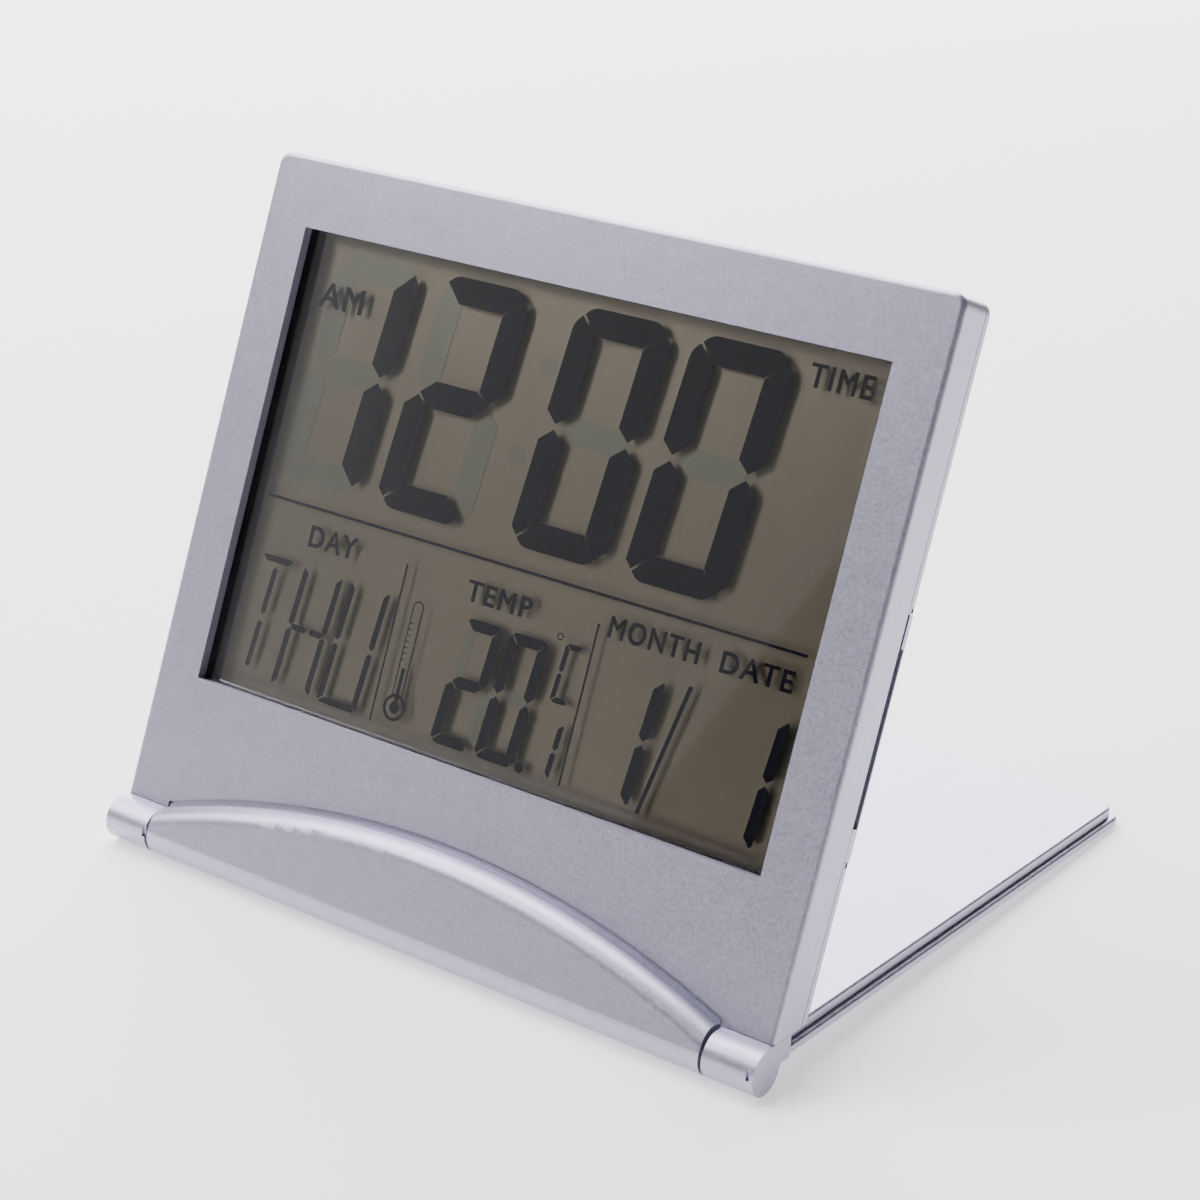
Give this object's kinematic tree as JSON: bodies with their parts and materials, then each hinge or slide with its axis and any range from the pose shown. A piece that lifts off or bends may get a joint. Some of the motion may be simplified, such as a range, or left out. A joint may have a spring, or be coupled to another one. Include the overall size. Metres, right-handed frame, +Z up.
{
  "type": "folding travel alarm clock",
  "caption": "Thin folding desk alarm clock: a rectangular LCD unit hinged at its crowned foot to a flip cover that folds back as a stand.",
  "frame": {"origin": "centre of the bounding box's base, on the table that the open clock stands on", "axes": "+Z up, +X along the hinge to the right as the display is read, +Y from the display's front to its back; the display faces -Y and leans back"},
  "size_m": [0.112, 0.1034, 0.0959],
  "materials": {
    "silver_paint": "satin silver lacquer with fine metallic flake on moulded ABS",
    "silver_paint_rear": "satin silver lacquer on moulded ABS, rear pieces",
    "clear_lens": "clear polished acrylic",
    "display_glass": "LCD glass with grey-green polariser",
    "reflector_film": "satin transflective reflector film",
    "black_plastic": "fine matte black ABS",
    "contact_rubber": "matte silicone rubber",
    "board_laminate": "green solder-masked glass-epoxy laminate",
    "chip_resin": "glossy black epoxy blob",
    "component_ceramic": "sintered ceramic with tinned ends",
    "sensor_bead": "glossy epoxy bead",
    "steel": "plated steel",
    "spring_contact": "nickel-plated spring strip",
    "screw_steel": "zinc-plated steel",
    "button_grey": "satin grey moulded plastic",
    "button_dark": "dark moulded plastic"
  },
  "bodies": {
    "display_unit": {"front_housing": "silver_paint", "rear_housing": "silver_paint_rear", "hinge_bow": "silver_paint", "window_lens": "clear_lens", "lcd_frame": "black_plastic", "lcd_front_glass": "display_glass", "lcd_rear_glass": "display_glass", "lcd_reflector": "reflector_film", "zebra_strip_lower": "contact_rubber", "zebra_strip_upper": "contact_rubber", "main_board": "board_laminate", "clock_chip": "chip_resin", "board_components": "component_ceramic", "quartz_crystal": "steel", "temperature_sensor": "sensor_bead", "piezo_buzzer": "black_plastic", "keypad_contacts": "contact_rubber", "battery_holder": "black_plastic", "battery_contact_negative": "spring_contact", "battery_contact_positive": "spring_contact", "coin_cell": "steel", "housing_screws": "screw_steel", "bow_screws": "screw_steel"},
    "cover": {"cover_outer_shell": "silver_paint", "cover_inner_panel": "silver_paint", "hinge_pin_left": "steel", "hinge_pin_right": "steel"},
    "battery_door": {"battery_door": "silver_paint_rear"},
    "mode_button_body": {"mode_button": "button_grey"},
    "set_button_body": {"set_button": "button_grey"},
    "up_button_body": {"up_button": "button_grey"},
    "snooze_button_body": {"snooze_button": "button_grey"},
    "reset_button_body": {"reset_button": "button_dark"}
  },
  "joints": [
    {"name": "cover_hinge", "type": "hinge", "parent": "display_unit", "child": "cover", "pos_m": [0, -0.04849, 0.0032], "axis": [-1, 0, 0], "range_deg": [0, 288.8]},
    {"name": "battery_door_slide", "type": "slide", "parent": "display_unit", "child": "battery_door", "axis": [1, 0, 0], "range_m": [0, 0.034]},
    {"name": "mode_press", "type": "slide", "parent": "display_unit", "child": "mode_button_body", "axis": [0, -0.9354, 0.3535], "range_m": [0, 0.0003], "stiffness_N_per_m": 1000},
    {"name": "set_press", "type": "slide", "parent": "display_unit", "child": "set_button_body", "axis": [0, -0.9354, 0.3535], "range_m": [0, 0.0003], "stiffness_N_per_m": 1000},
    {"name": "up_press", "type": "slide", "parent": "display_unit", "child": "up_button_body", "axis": [0, -0.9354, 0.3535], "range_m": [0, 0.0003], "stiffness_N_per_m": 1000},
    {"name": "snooze_press", "type": "slide", "parent": "display_unit", "child": "snooze_button_body", "axis": [0, -0.9354, 0.3535], "range_m": [0, 0.0003], "stiffness_N_per_m": 1000},
    {"name": "reset_press", "type": "slide", "parent": "display_unit", "child": "reset_button_body", "axis": [0, -0.9354, 0.3535], "range_m": [0, 0.0003], "stiffness_N_per_m": 1000}
  ]
}
